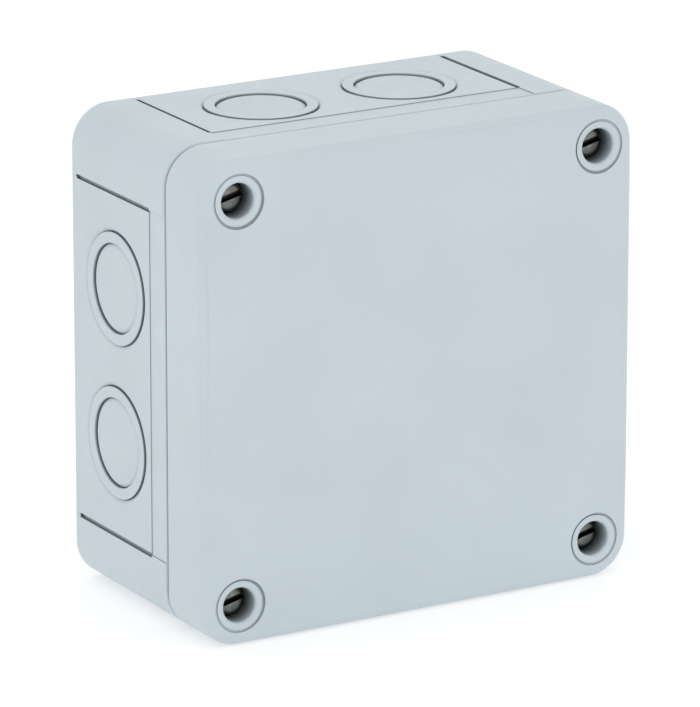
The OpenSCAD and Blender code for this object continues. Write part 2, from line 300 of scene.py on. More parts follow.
def cleaned(mesh):
    """Merges doubled points and drops the seams that cutting leaves in flat faces."""
    bm = bmesh.new()
    bm.from_mesh(mesh)
    bmesh.ops.remove_doubles(bm, verts=bm.verts, dist=0.002)
    bmesh.ops.dissolve_degenerate(bm, dist=0.002, edges=bm.edges)
    bmesh.ops.dissolve_limit(bm, angle_limit=math.radians(0.4), verts=bm.verts, edges=bm.edges)
    bm.to_mesh(mesh)
    bm.free()


def piece(made, body, material, nodes, sharp=32):
    """Finishes a piece: stands it up, shades it, gives it its material, hangs it under its body's empty and
    hides the CAD nodes it stands in for.
    """
    cleaned(made.data)
    made.data.transform(UPRIGHT)
    made.data.shade_smooth()
    made.data.set_sharp_from_angle(angle=math.radians(sharp))
    normals = made.modifiers.new("even_normals", "WEIGHTED_NORMAL")
    normals.keep_sharp = True
    normals.weight = 80
    made.data.materials.clear()
    made.data.materials.append(material)
    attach(made, body)
    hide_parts(*nodes)
    return made


# ---- Materials ----

def colour(text):
    """Linear colour from a hexadecimal one."""
    parts = [int(text[i:i + 2], 16) / 255 for i in (1, 3, 5)]
    return [c / 12.92 if c <= 0.04045 else ((c + 0.055) / 1.055) ** 2.4 for c in parts] + [1]


class Paint:
    """A node material that is put together layer by layer. Sizes are in metres."""

    def __init__(self, name, roughness, metallic=0.0, specular=0.5, coat=0.0):
        self.material = bpy.data.materials.new(name)
        self.material.use_nodes = True
        self.nodes = self.material.node_tree.nodes
        self.links = self.material.node_tree.links
        self.shader = self.nodes["Principled BSDF"]
        self.shader.inputs["Roughness"].default_value = roughness
        self.shader.inputs["Metallic"].default_value = metallic
        self.shader.inputs["Specular IOR Level"].default_value = specular
        self.shader.inputs["Coat Weight"].default_value = coat
        self.place = self.nodes.new("ShaderNodeTexCoord").outputs["Object"]
        self.normal = None

    def noise(self, size, detail=3.0, stretch=(1, 1, 1)):
        mapping = self.nodes.new("ShaderNodeMapping")
        mapping.inputs["Scale"].default_value = [s / size for s in stretch]
        noise = self.nodes.new("ShaderNodeTexNoise")
        noise.inputs["Scale"].default_value = 1
        noise.inputs["Detail"].default_value = detail
        self.links.new(self.place, mapping.inputs["Vector"])
        self.links.new(mapping.outputs["Vector"], noise.inputs["Vector"])
        return noise.outputs["Fac"]

    def ranged(self, value, low, high, start=0.3, end=0.7):
        node = self.nodes.new("ShaderNodeMapRange")
        node.inputs["From Min"].default_value = start
        node.inputs["From Max"].default_value = end
        node.inputs["To Min"].default_value = low
        node.inputs["To Max"].default_value = high
        self.links.new(value, node.inputs["Value"])
        return node.outputs["Result"]

    def mixed(self, factor, first, second):
        node = self.nodes.new("ShaderNodeMix")
        node.data_type = "RGBA"
        self.links.new(factor, node.inputs["Factor"])
        for socket, value in ((node.inputs[6], first), (node.inputs[7], second)):
            if isinstance(value, list):
                socket.default_value = value
            else:
                self.links.new(value, socket)
        return node.outputs[2]

    def coloured(self, value):
        self.links.new(value, self.shader.inputs["Base Color"])

    def rough(self, value):
        self.links.new(value, self.shader.inputs["Roughness"])

    def bump(self, height, depth, strength=1.0):
        node = self.nodes.new("ShaderNodeBump")
        node.inputs["Strength"].default_value = strength
        node.inputs["Distance"].default_value = depth
        self.links.new(height, node.inputs["Height"])
        if self.normal is not None:
            self.links.new(self.normal, node.inputs["Normal"])
        self.normal = node.outputs["Normal"]
        self.links.new(self.normal, self.shader.inputs["Normal"])

    def crevices(self, reach, full=0.25, none=0.85, local=True):
        """0 in the open, 1 deep in a groove, hole or corner."""
        node = self.nodes.new("ShaderNodeAmbientOcclusion")
        node.samples = 8
        node.only_local = local
        node.inputs["Distance"].default_value = reach
        return self.ranged(node.outputs["AO"], 1, 0, full, none)


def moulded_plastic(name, shade, crease_shade, roughness=0.42, reach=0.002):
    """Injection-moulded plastic: a fine spark-eroded grain, faint flow mottling, painted shade in its grooves
    and painted shadow deep in its holes and corners.
    """
    paint = Paint(name, roughness)
    base = colour(shade)
    light = [min(1, c * 1.025) for c in base[:3]] + [1]
    dark = [c * 0.972 for c in base[:3]] + [1]
    flow = paint.mixed(paint.ranged(paint.noise(0.028, 4), 0, 1), dark, light)
    speck = paint.mixed(paint.ranged(paint.noise(0.0011, 2), 0, 0.35, 0.55, 0.75), flow, light)
    # Painted shade: grooves, creases and joints are darkened toward the second colour, standing in for the
    # shade that falls in them.
    painted_shade = paint.mixed(paint.crevices(reach), speck, colour(crease_shade))
    shadow = [c * 0.12 for c in base[:3]] + [1]
    paint.coloured(paint.mixed(paint.crevices(0.009, 0.15, 0.58), painted_shade, shadow))
    paint.rough(paint.ranged(paint.noise(0.004, 4), roughness - 0.05, roughness + 0.07))
    paint.bump(paint.noise(0.00032, 2), 0.00001)
    paint.bump(paint.noise(0.009, 2), 0.00006)
    return paint.material


def plated_steel(name, shade, tint, roughness=0.3, stretch=(1, 1, 1), shadow_reach=0.0):
    """Zinc-plated steel: spangled colour, fine drawn lines and small scuffs, with painted shade in its
    crevices and, if asked, painted shadow from a deep recess around it.
    """
    paint = Paint(name, roughness, metallic=1.0)
    spangle = paint.mixed(paint.ranged(paint.noise(0.0014, 3), 0, 1), colour(shade), colour(tint))
    # Painted shade: the steel darkens in its slots and crevices, where shade falls.
    painted_shade = paint.mixed(paint.crevices(0.0008), spangle, colour("#3c3d38"))
    # Painted shadow: a part sunk in a deep recess darkens nearly to black within this reach of the walls
    # around it.
    if shadow_reach:
        painted_shade = paint.mixed(paint.crevices(shadow_reach, 0.15, 0.75, local=False), painted_shade, colour("#1c1e1d"))
    paint.coloured(painted_shade)
    paint.rough(paint.ranged(paint.noise(0.0009, 4), roughness - 0.08, roughness + 0.16))
    paint.bump(paint.noise(0.0002, 2, stretch), 0.000006)
    return paint.material


def soft_rubber(name, shade, pore):
    """Rubber or foam: matt, with pores of the given size."""
    paint = Paint(name, 0.75, specular=0.3)
    base = colour(shade)
    light = [min(1, c * 1.5 + 0.004) for c in base[:3]] + [1]
    paint.coloured(paint.mixed(paint.ranged(paint.noise(pore * 3, 3), 0, 1), base, light))
    paint.rough(paint.ranged(paint.noise(pore * 2, 3), 0.62, 0.85))
    paint.bump(paint.noise(pore, 2), pore / 5)
    return paint.material


# The second colour of each plastic is the painted shade put in its grooves and creases.
SHELL = moulded_plastic("shell_plastic", "#bcc8ce", "#66747a")
GREY = moulded_plastic("terminal_grey_plastic", "#8f9496", "#4a4e50", 0.38, 0.0008)
BLUE = moulded_plastic("terminal_blue_plastic", "#3f78b5", "#1f3f66", 0.38, 0.0008)
GREEN = moulded_plastic("terminal_green_plastic", "#5f9a3f", "#2f5220", 0.38, 0.0008)
BRACKET = moulded_plastic("bracket_plastic", "#7c8184", "#434749", 0.4, 0.0008)
# The cover screws sit deep in the lid's recesses, and painted shadow darkens them there.
SCREW_STEEL = plated_steel("screw_steel", "#b4b7b1", "#989b95", 0.4, shadow_reach=0.008)
RAIL_STEEL = plated_steel("rail_steel", "#c9cbca", "#b3b7b6", 0.32, (0.08, 1, 1))
CLAMP_STEEL = plated_steel("clamp_steel", "#a8adaf", "#8f9496", 0.34)
BRASS = plated_steel("turned_brass", "#cfae5a", "#b9943f", 0.3)
COPPER = plated_steel("tinned_copper", "#c98a5b", "#d6a27c", 0.3, (1, 1, 0.1))
RUBBER = soft_rubber("black_rubber", "#26272a", 0.0003)
FOAM = soft_rubber("gasket_foam", "#4d5254", 0.0006)


# ---- Enclosure ----

def block_outline(t, fillet=0.9):
    """Inside of the box, t in from the walls' inner faces, around the four corner blocks."""
    wall = SIZE / 2 - WALL - t
    block = SCREW_REACH - PAD_R - t
    corners = []
    for quarter in range(4):
        turn = Matrix.Rotation(quarter * QUARTER, 2)
        for x, y, r in ((wall, block, fillet), (block, block, PAD_R + t), (block, wall, fillet)):
            p = turn @ Vector((x, y))
            corners.append((p.x, p.y, r))
    return rounded(corners)


def band(profile):
    """Rows of a hoop that follows the inside of the box, through (t, z) points."""
    return [at(block_outline(t), z) for t, z in profile]


def box_profile(t, z, top=0.0):
    """Cross-section of a band, with its two upper edges rounded."""
    (t0, t1), (z0, z1) = t, z
    return rounded([(t0, z0, 0), (t1, z0, 0), (t1, z1, top), (t0, z1, top)], steps=3)


def shell_outline():
    half = SIZE / 2
    return rectangle((-half, -half), (half, half), CORNER_R, steps=14)


def crown(p):
    """How far the lid's front lies below its middle at a point of it."""
    half = SIZE / 2
    return CROWN * ((p.x / half) ** 4 + (p.y / half) ** 4) / 2


def lowered(row):
    return [Vector((p.x, p.y, p.z - crown(p))) for p in row]


def lid_body():
    """The lid's outside: rounded lower edge, straight sides, rounded front edge and crowned front."""
    outline = divided(shell_outline(), 5)
    lower_edge = 0.6
    rows = slab(outline, LID_BOTTOM, LID_BOTTOM + 1, bottom=lower_edge)
    for a in arc(8):
        edge = inset(outline, FRONT_EDGE * (1 - math.cos(a)))
        rows.append(lowered(at(edge, DEPTH - FRONT_EDGE * (1 - math.sin(a)))))
    front = inset(outline, FRONT_EDGE)
    rings = 16
    for k in range(1, rings):
        rows.append(lowered(at([p * (1 - k / rings) for p in front], DEPTH)))
    return solid("lid", [rows])


def screw_recess(x, y):
    """Seat, recess, neck hole and thread relief of one cover screw, as one turned cutter."""
    profile = rounded([
        (RELIEF_R, LID_BOTTOM - 1, 0), (RELIEF_R, RECESS_FLOOR - NECK_WALL, 0),
        (NECK_HOLE_R, RECESS_FLOOR - NECK_WALL, 0), (NECK_HOLE_R, RECESS_FLOOR, 0),
        (RECESS_R, RECESS_FLOOR, 0.3), (RECESS_R, SEAT_Z, 0.8),
        (SEAT_R - 0.55, SEAT_Z, 0.1), (SEAT_R - 0.5, SEAT_Z - 0.25, 0.1),
        (SEAT_R - 0.05, SEAT_Z - 0.25, 0.08), (SEAT_R, SEAT_Z, 0), (SEAT_R + 0.1, DEPTH + 1, 0),
    ], steps=3, closed=False)
    return turned(profile, 64, x * SCREW_REACH, y * SCREW_REACH)


def make_lid():
    gasket_top = own_box("lid_gasket")[1].z
    rib_width, rib_top = 1.2, gasket_top + 2
    inner_fillet = 1.0
    lid = lid_body()
    inner = [at(block_outline(rib_width), LID_BOTTOM - 1), at(block_outline(rib_width), rib_top)]
    cut(lid, [inner])
    hollow = [at(block_outline(0), rib_top - 0.02)]
    hollow += [at(block_outline(inner_fillet * (1 - math.cos(a))),
                  DEPTH - WALL - inner_fillet * (1 - math.sin(a))) for a in arc(4)]
    cut(lid, [hollow])
    cut(lid, hoops=[band(box_profile((-1.8, 0), (LID_BOTTOM - 1, gasket_top)))])
    cut(lid, [screw_recess(x, y) for x, y in QUADRANTS])
    return piece(lid, "lid", SHELL, ["lid_shell"])


def sides():
    """Matrices that turn (along the side, out from the wall, out of the side's face) to the box's axes."""
    face = Matrix(((0, 0, 1, SIZE / 2), (1, 0, 0, 0), (0, 1, 0, 0), (0, 0, 0, 1)))
    return [Matrix.Rotation(quarter * QUARTER, 4, "Z") @ face for quarter in range(4)]


def on_sides(rows_list):
    return [placed(rows, side) for side in sides() for rows in rows_list]


def knockout_places():
    return [(s * KNOCK_PITCH / 2, KNOCK_HEIGHT) for s in (-1, 1)]


def ring_hoop(inner, outer, low, high):
    """Rows of a square-section ring about z."""
    return turned([(inner, low), (outer, low), (outer, high), (inner, high)], 96)


def ring_groove(r, width, floor, surface):
    """Rows of a groove around z with an upright wall at radius r and a slope that ends that width away."""
    slope = width / (surface - floor)
    return turned([(r, floor), (r + width + slope * 0.05, surface + 0.05), (r, surface + 0.05)], 96)


def cut_sides(base):
    """Panels, raised rings, recessed discs, end lines and the grooves that let the stages break out."""
    end_line_middle = PANEL_HALF - END_LINE_WIDTH / 2
    panel = rectangle((-end_line_middle, -5), (end_line_middle, PANEL_FRONT), 0.5)
    panels = solid("panels", on_sides([pocket(panel, -PANEL_RECESS, 0, fillet=0.1, lip=0.12)]))
    post = pocket(circle(KNOCK_OUTER_R, 96), -WALL, 0, lip=0.1, side=-1, over=2)
    cut(panels, on_sides([moved(post, x, y) for x, y in knockout_places()]))
    combine(base, panels, "DIFFERENCE")
    rim = rectangle((-end_line_middle, PANEL_FRONT), (end_line_middle, BASE_TOP + 5), 0.1, 2)
    cut(base, on_sides([pocket(rim, -RIM_RECESS, 0, lip=0.05)]))
    line = rectangle((-END_LINE_WIDTH / 2, LINE_BACK), (END_LINE_WIDTH / 2, PANEL_FRONT), 0.3, 3)
    line = pocket(line, -END_LINE_DEPTH, 0, fillet=0.15, lip=0.08)
    cut(base, on_sides([moved(line, s * end_line_middle) for s in (-1, 1)]))
    disc = pocket(circle(KNOCK_INNER_R, 96), -DISC_RECESS, 0, fillet=0.1, lip=0.2)
    cut(base, on_sides([moved(disc, x, y) for x, y in knockout_places()]))
    inside, half = -WALL - 1, 0.4
    rings = [
        ring_groove(KNOCK_OUTER_R - 0.02, GROOVE_WIDTH, OUTER_GROOVE_FLOOR, -PANEL_RECESS),
        ring_groove(KNOCK_INNER_R + 0.02, -GROOVE_WIDTH, INNER_GROOVE_FLOOR, -DISC_RECESS),
        ring_hoop(KNOCK_OUTER_R - half, KNOCK_OUTER_R + half, inside, 1.7 - WALL),
        ring_hoop(KNOCK_INNER_R - half, KNOCK_INNER_R + half, inside, 1.3 - WALL),
    ]
    cut(base, hoops=on_sides([moved(ring, x, y) for ring in rings for x, y in knockout_places()]))


def make_base():
    tongue_top = own_box("base_shell")[1].z
    cap_top = own_box("fixing_hole_caps")[1].z
    insert_bottom = own_box("threaded_inserts")[0].z
    rail_low = own_box("mounting_rail")[0]
    fixing_x, fixing_y, fixing_hole_r = 35, 44.5, 2.4
    cup_r, cup_wall = 4.6, 1.3
    boss_x, boss_r, boss_hole_r = 33, 4.5, 2.05
    core_r, core_depth = 4.5, 22
    floor_fillet = 1.2
    base = solid("base", [slab(shell_outline(), 0, BASE_TOP, bottom=BACK_EDGE, top=0.55)])
    hollow = [at(block_outline(floor_fillet * (1 - math.sin(a))), WALL + floor_fillet * (1 - math.cos(a)))
              for a in arc(4)]
    cut(base, [hollow + [at(block_outline(0), BASE_TOP + 1)]])
    add(base, hoops=[band(box_profile((-1.5, -0.3), (BASE_TOP - 1, tongue_top), 0.3))])
    fixings = [(x * fixing_x, y * fixing_y) for x, y in QUADRANTS]
    cups = [moved(slab(circle(cup_r + cup_wall), WALL - 1, cap_top, top=0.3), x, y) for x, y in fixings]
    bosses = [moved(slab(circle(boss_r), WALL - 1, rail_low.z, top=0.3), s * boss_x) for s in (-1, 1)]
    add(base, cups + bosses)
    cup_profile = [(fixing_hole_r, -1), (fixing_hole_r, WALL), (cup_r, WALL), (cup_r, cap_top + 1)]
    bores = [turned(cup_profile, 48, x, y) for x, y in fixings]
    boss_hole = [(boss_hole_r, WALL + 0.5), (boss_hole_r, rail_low.z + 1)]
    bores += [turned(boss_hole, 32, s * boss_x) for s in (-1, 1)]
    core = rounded([(core_r, -1, 0), (core_r, core_depth, 0.8), (0.5, core_depth, 0)], 3, closed=False)
    tip_r, insert_r = 2.25, 3.2
    insert_bore = [(tip_r, insert_bottom - 2), (tip_r, insert_bottom), (insert_r, insert_bottom),
                   (insert_r, BASE_TOP + 1)]
    for x, y in QUADRANTS:
        bores += [turned(core, 48, x * SCREW_REACH, y * SCREW_REACH),
                  turned(insert_bore, 48, x * SCREW_REACH, y * SCREW_REACH)]
    cut(base, bores)
    cut_sides(base)
    return piece(base, "enclosure", SHELL, ["base_shell"])


def make_gasket():
    low, high = own_box("lid_gasket")
    outer, inner = -1.75, -0.05
    profile = rounded([(outer, low.z, 0.5), (inner, low.z, 0.5),
                       (inner, high.z, 0.2), (outer, high.z, 0.2)], 4)
    gasket = solid("gasket", hoops=[band(profile)])
    return piece(gasket, "lid", FOAM, ["lid_gasket"])


def make_caps():
    """The caps that close the wall-fixing cups, each with a notch for a screwdriver's blade."""
    low, high = own_box("fixing_hole_caps")
    cap_r = 4.55
    places = [(x * (high.x - cap_r), y * (high.y - cap_r)) for x, y in QUADRANTS]
    cap = slab(circle(cap_r), low.z, high.z, 0.15, 0.3)
    caps = solid("fixing_caps", [moved(cap, x, y) for x, y in places])
    dish = pocket(circle(2.9, 40), high.z - 0.45, high.z, fillet=0.15, lip=0.15)
    notch = pocket(rectangle((-0.5, -1.8), (0.5, 1.8), 0.3, 3), high.z - 0.9, high.z - 0.4, lip=0.05)
    cut(caps, [moved(dish, x, y) for x, y in places])
    cut(caps, [moved(notch, x, y) for x, y in places])
    return piece(caps, "enclosure", SHELL, ["fixing_hole_caps"])


def knurled(outer, depth, teeth, z0, z1):
    """Rows of a cylinder with straight knurls."""
    outline = []
    for k in range(teeth * 4):
        r = outer - depth * abs(2 * (k / 4 % 1) - 1)
        a = 2 * math.pi * k / (teeth * 4)
        outline.append(Vector((math.cos(a), math.sin(a))) * r)
    return [at(outline, z0), at(outline, z1)]


def make_inserts():
    low, high = own_box("threaded_inserts")
    outer = (high.x - low.x) / 2 - SCREW_REACH
    bore = 2.0
    neck = (high.z - low.z) / 2
    knurls = knurled(outer, 0.2, 24, low.z, high.z)
    inserts = solid("inserts", [moved(knurls, x * SCREW_REACH, y * SCREW_REACH) for x, y in QUADRANTS])
    groove = [(outer - 0.35, low.z + neck - 0.6), (outer + 0.5, low.z + neck - 0.6),
              (outer + 0.5, low.z + neck + 0.6), (outer - 0.35, low.z + neck + 0.6)]
    cut(inserts, hoops=[turned(groove, 48, x * SCREW_REACH, y * SCREW_REACH) for x, y in QUADRANTS])
    hole = [(bore, low.z - 1), (bore, high.z - 0.5), (bore + 0.9, high.z + 0.4)]
    cut(inserts, [turned(hole, 40, x * SCREW_REACH, y * SCREW_REACH) for x, y in QUADRANTS])
    return piece(inserts, "enclosure", BRASS, ["threaded_inserts"])


# ---- Cover screws ----

SLOT_ANGLE = math.radians(14)


def slot_cutter(width, length, floor, top, angle):
    rows = slab(rectangle((-length, -width / 2), (length, width / 2), width / 4, 2), floor, top)
    return placed(rows, Matrix.Rotation(angle, 4, "Z"))


def make_cover_screw(corner):
    """Cheese head with a slot, a thin neck that keeps it in the lid, and a rolled thread."""
    name = "cover_screw_" + corner
    low, high = own_box(name)
    middle = own_middle(name)
    head_r, head_height, neck_r, crest = 3.5, 3.0, 1.5, 1.95
    thread_top = own_box("threaded_inserts")[1].z
    head_bottom = high.z - head_height
    head = rounded([(neck_r, thread_top - 0.5, 0), (neck_r, head_bottom, 0.2), (head_r, head_bottom, 0.25),
                    (head_r, high.z - 0.25, 0.45), (head_r - 0.9, high.z, 0.5), (0.2, high.z, 0)],
                   4, closed=False)
    screw = solid(name.replace("cover_screw", "captive_screw"), [turned(head, 56)])
    cut(screw, [slot_cutter(1.4, head_r + 1, high.z - 1.6, high.z + 1, SLOT_ANGLE)])
    tip = 0.8
    point = turned([(0.9, low.z), (1.5, low.z + tip), (1.5, low.z + tip + 0.3)], 20)
    add(screw, [point[:-1] + threaded(1.52, crest, 0.7, low.z + tip + 0.1, thread_top)])
    screw.data.transform(Matrix.Translation((middle.x, middle.y, 0)))
    return piece(screw, name, SCREW_STEEL, [name])


def make_screw_seal(corner):
    """Rubber ring under the head, a little flattened where it bears on the lid and the head."""
    name = "screw_seal_" + corner
    low, high = own_box(name)
    middle = own_middle(name)
    half = (high.z - low.z) / 2
    mid_r = (high.x - low.x) / 2 - half
    flat = 0.9
    profile = []
    for k in range(20):
        a = 2 * math.pi * k / 20
        height = max(-flat, min(flat, math.sin(a)))
        profile.append((mid_r + half * math.cos(a), middle.z + half * height))
    seal = solid(name.replace("screw_seal", "head_seal"), hoops=[turned(profile, 48, middle.x, middle.y)])
    return piece(seal, name, RUBBER, [name])


# ---- Rail ----

RAIL_TOP = own_box("mounting_rail")[1].z
RAIL_BOTTOM = own_box("mounting_rail")[0].z
RAIL_T = 1.0
RAIL_HALF, CHANNEL_HALF = 17.5, 13.5


def make_rail():
    """Top-hat rail bent from strip, with rounded bends and long holes in its floor."""
    low, high = own_box("mounting_rail")
    bend, tight, edge = 1.3, 0.35, 0.15
    upper, lower = RAIL_TOP - RAIL_T, RAIL_BOTTOM + RAIL_T
    inner = CHANNEL_HALF - RAIL_T
    outline = rounded([
        (CHANNEL_HALF, upper, tight), (RAIL_HALF, upper, edge), (RAIL_HALF, RAIL_TOP, edge),
        (inner, RAIL_TOP, bend), (inner, lower, tight), (-inner, lower, tight), (-inner, RAIL_TOP, bend),
        (-RAIL_HALF, RAIL_TOP, edge), (-RAIL_HALF, upper, edge), (-CHANNEL_HALF, upper, tight),
        (-CHANNEL_HALF, RAIL_BOTTOM, bend), (CHANNEL_HALF, RAIL_BOTTOM, bend),
    ], 5)
    rail = solid("rail", [along_x(slab(outline, low.x, high.x, 0.06, 0.06, 2))])
    hole = rectangle((-6, -2.3), (6, 2.3), 2.29, 8)
    hole = pocket(hole, RAIL_BOTTOM - 1, lower, lip=0.1)
    cut(rail, [moved(hole, x) for x in (-33, -11, 11, 33)])
    return piece(rail, "enclosure", RAIL_STEEL, ["mounting_rail"])


def make_rail_screws():
    low, high = own_box("rail_screws")
    head_r, head_low, root, crest = 4.0, RAIL_BOTTOM + RAIL_T, 1.5, 2.0
    head = rounded([(crest - 0.1, head_low - 0.4, 0), (crest - 0.1, head_low, 0), (head_r, head_low, 0.2),
                    (head_r, high.z - 1.1, 0.6), (head_r - 1.8, high.z, 1.5), (0.2, high.z, 0)],
                   5, closed=False)
    places = [s * (high.x - head_r) for s in (-1, 1)]
    screws = solid("rail_fixings", [turned(head, 48, x) for x in places])
    cut(screws, [moved(slot_cutter(1.4, head_r + 1, high.z - 1.6, high.z + 1, 0), x) for x in places])
    add(screws, [moved(threaded(root, crest, 1.0, low.z, head_low - 0.2, 20, 8), x) for x in places])
    return piece(screws, "enclosure", SCREW_STEEL, ["rail_screws"])


# ---- Terminals ----

CLAMP_Y = own_middle("terminal_l1_upper_screw").y
HOUSING_TOP = own_box("terminal_l1_housing")[1].z
HOUSING_HALF = own_box("terminal_l1_housing")[1].y
BAR_LOW, BAR_HIGH = own_box("terminal_l1_busbar")
CHAMBER_LOW, CHAMBER_HIGH, CHAMBER_HALF = RAIL_TOP + 7.7, RAIL_TOP + 23.5, 3.5
WIRE_Z = (RAIL_TOP + 9.3 + BAR_LOW.z) / 2


def clipped(half, body):
    """Outline of two feet that grip the rail's edges, closed by the corners of the body above them."""
    clear, foot, grip, hook = 0.2, 1.8, 2.1, 3.0
    inner, outer = RAIL_HALF + clear, RAIL_HALF + clear + foot
    under = RAIL_TOP - RAIL_T - clear
    right = [(inner, RAIL_TOP + 0.1, 0.15), (inner, under, 0.15), (RAIL_HALF - grip, under, 0.2),
             (RAIL_HALF - grip, RAIL_TOP - hook, 0.5), (outer, RAIL_TOP - hook, 0.8),
             (half, RAIL_TOP + 2.5, 0.8)]
    left = [(-y, z, r) for y, z, r in reversed(right)]
    return rounded(left + right + body, 4)


def housing_outline():
    ridge = [(HOUSING_HALF, RAIL_TOP + 20.5, 1.0), (15.5, HOUSING_TOP, 0.8), (8, HOUSING_TOP, 0.5),
             (6, HOUSING_TOP - 4, 0.6)]
    return clipped(HOUSING_HALF, ridge + [(-y, z, r) for y, z, r in reversed(ridge)])


def block(low, high, r=0.25):
    """Rows of a box with its upright edges rounded."""
    return slab(rectangle(low[:2], high[:2], r, 3), low[2], high[2])


def wire_mouth(s):
    """Funnel that leads a wire into the clamp from the housing's side, as one turned cutter."""
    reach = HOUSING_HALF - CLAMP_Y
    hole_r, mouth_r = 1.9, 3.0
    profile = rounded([(hole_r, CHAMBER_HALF - 1, 0), (hole_r, reach - 2.4, 0.6),
                       (mouth_r, reach + 0.02, 0.25), (mouth_r + 0.6, reach + 0.6, 0)], 4, closed=False)
    turn = Matrix.Translation((0, s * CLAMP_Y, WIRE_Z)) @ Matrix.Rotation(-s * QUARTER, 4, "X")
    return placed(turned(profile, 40), turn)


def make_housing(terminal, material):
    name = f"terminal_{terminal}_housing"
    low, high = own_box(name)
    middle = (low.x + high.x) / 2
    width = high.x - low.x
    head_low = own_box(f"terminal_{terminal}_upper_screw")[1].z - 2.7
    body = slab(housing_outline(), -width / 2, width / 2, 0.25, 0.25, 3)
    housing = solid("housing_" + terminal, [along_x(body)])
    open_side = width / 2 + 1
    for s in (-1, 1):
        chamber = block((-3.3, s * CLAMP_Y - CHAMBER_HALF, CHAMBER_LOW),
                        (open_side, s * CLAMP_Y + CHAMBER_HALF, CHAMBER_HIGH))
        cut(housing, [chamber])
        shaft = rounded([(2.0, CHAMBER_HIGH - 1, 0), (2.0, head_low - 0.1, 0), (3.0, head_low - 0.1, 0.2),
                         (3.0, HOUSING_TOP, 0.3), (3.6, HOUSING_TOP + 0.05, 0), (3.6, HOUSING_TOP + 1, 0)],
                        4, closed=False)
        cut(housing, [turned(shaft, 40, 0, s * CLAMP_Y)])
        cut(housing, [wire_mouth(s)])
    cut(housing, [block((-2.6, HOUSING_HALF - 1.2, RAIL_TOP + 4), (2.6, HOUSING_HALF + 1, RAIL_TOP + 6.2))])
    play = 0.1
    bar = block((-2 - play, BAR_LOW.y - play, BAR_LOW.z - play),
                (open_side, BAR_HIGH.y + play, BAR_HIGH.z + play), 0.05)
    cut(housing, [bar])
    bridge_hole = [(1.6, BAR_LOW.z), (1.6, HOUSING_TOP - 4.25), (1.9, HOUSING_TOP - 3.95), (1.9, HOUSING_TOP)]
    cut(housing, [turned(bridge_hole, 32)])
    if terminal == "pe":
        foot_low, foot_high = own_box("earth_foot")
        plate_top = RAIL_TOP + 1.3
        cut(housing, [block((-2 - play, foot_low.y - play, RAIL_TOP - 1),
                            (open_side, foot_high.y + play, plate_top + play), 0.05)])
        cut(housing, [block((-2 - play, -3 - play, RAIL_TOP), (open_side, 3 + play, BAR_LOW.z + 0.5), 0.05)])
    housing.data.transform(Matrix.Translation((middle, 0, 0)))
    return piece(housing, "enclosure", material, [name])


def make_busbar(terminal):
    name = f"terminal_{terminal}_busbar"
    low, high = own_box(name)
    strip = slab(rectangle(low[:2], high[:2], 0.4, 4), low.z, high.z, 0.12, 0.12, 3)
    bar = solid("busbar_" + terminal, [strip])
    middle = own_middle(name)
    hole = [(1.6, low.z - 1), (1.6, high.z - 0.2), (1.9, high.z + 0.1), (1.9, high.z + 1)]
    cut(bar, [turned(hole, 32, middle.x)])
    return piece(bar, "enclosure", COPPER, [name])


def make_cage(terminal, side):
    """Clamp cage folded from strip: rounded bends, an opening for the bar and wire, and a threaded top."""
    name = f"terminal_{terminal}_{side}_cage"
    low, high = own_box(name)
    middle = own_middle(name)
    half, reach = (high.x - low.x) / 2, (high.y - low.y) / 2
    turn = Matrix.Rotation(QUARTER, 4, "X")
    outer = rectangle((-half, low.z), (half, high.z), 0.7, 5)
    cage = solid("cage_" + terminal + "_" + side, [placed(slab(outer, -reach, reach, 0.12, 0.12, 3), turn)])
    opening = rectangle((-2.3, low.z + 1.2), (2.3, low.z + 8.3), 0.35, 4)
    cut(cage, [placed(slab(opening, -reach - 1, reach + 1), turn)])
    cut(cage, [turned([(1.8, low.z + 8), (1.8, high.z - 0.2), (2.1, high.z + 0.1), (2.1, high.z + 1)], 32)])
    jaw = low.z + 1.2
    cut(cage, [block((-1.7, y - 0.2, jaw - 0.15), (1.7, y + 0.2, jaw + 0.2), 0.05)
               for y in (-1.8, -0.6, 0.6, 1.8)])
    cage.data.transform(Matrix.Translation((middle.x, middle.y, 0)))
    return piece(cage, name, CLAMP_STEEL, [name])


def make_clamp_screw(terminal, side):
    name = f"terminal_{terminal}_{side}_screw"
    low, high = own_box(name)
    middle = own_middle(name)
    head_r, head_height, root, crest = 2.7, 2.7, 1.4, 1.75
    head_low = high.z - head_height
    head = rounded([(root, head_low - 1, 0), (root, head_low, 0.15), (head_r, head_low, 0.2),
                    (head_r, high.z, 0.5), (0.2, high.z, 0)], 4, closed=False)
    screw = solid("clamp_screw_" + terminal + "_" + side, [turned(head, 48)])
    cut(screw, [slot_cutter(0.8, head_r + 1, high.z - 1.3, high.z + 1, SLOT_ANGLE)])
    point = turned([(1.0, low.z)], 20)
    add(screw, [point + threaded(root, crest, 0.6, low.z + 0.4, head_low - 0.6)])
    screw.data.transform(Matrix.Translation((middle.x, middle.y, 0)))
    return piece(screw, name, SCREW_STEEL, [name])


def make_earth_foot():
    low, high = own_box("earth_foot")
    plate_top, post = RAIL_TOP + 1.3, 3
    foot = solid("earth_clip", [slab(rectangle(low[:2], high[:2], 0.5, 4), low.z, plate_top, 0.12, 0.12, 3)])
    add(foot, [slab(rectangle((low.x + 0.01, -post), (high.x - 0.01, post), 0.3, 3), low.z + 0.4, high.z)])
    return piece(foot, "enclosure", BRASS, ["earth_foot"])


def make_end_plate():
    low, high = own_box("end_plate")
    plate = solid("cover_plate", [along_x(slab(housing_outline(), low.x, high.x, 0.25, 0.25, 3))])
    panel = rounded([(-13, RAIL_TOP + 5, 1), (13, RAIL_TOP + 5, 1),
                     (16, RAIL_TOP + 19, 1), (-16, RAIL_TOP + 19, 1)], 4)
    cut(plate, [along_x(pocket(panel, high.x - 0.4, high.x, 0.1, 0.12))])
    return piece(plate, "enclosure", BRACKET, ["end_plate"])


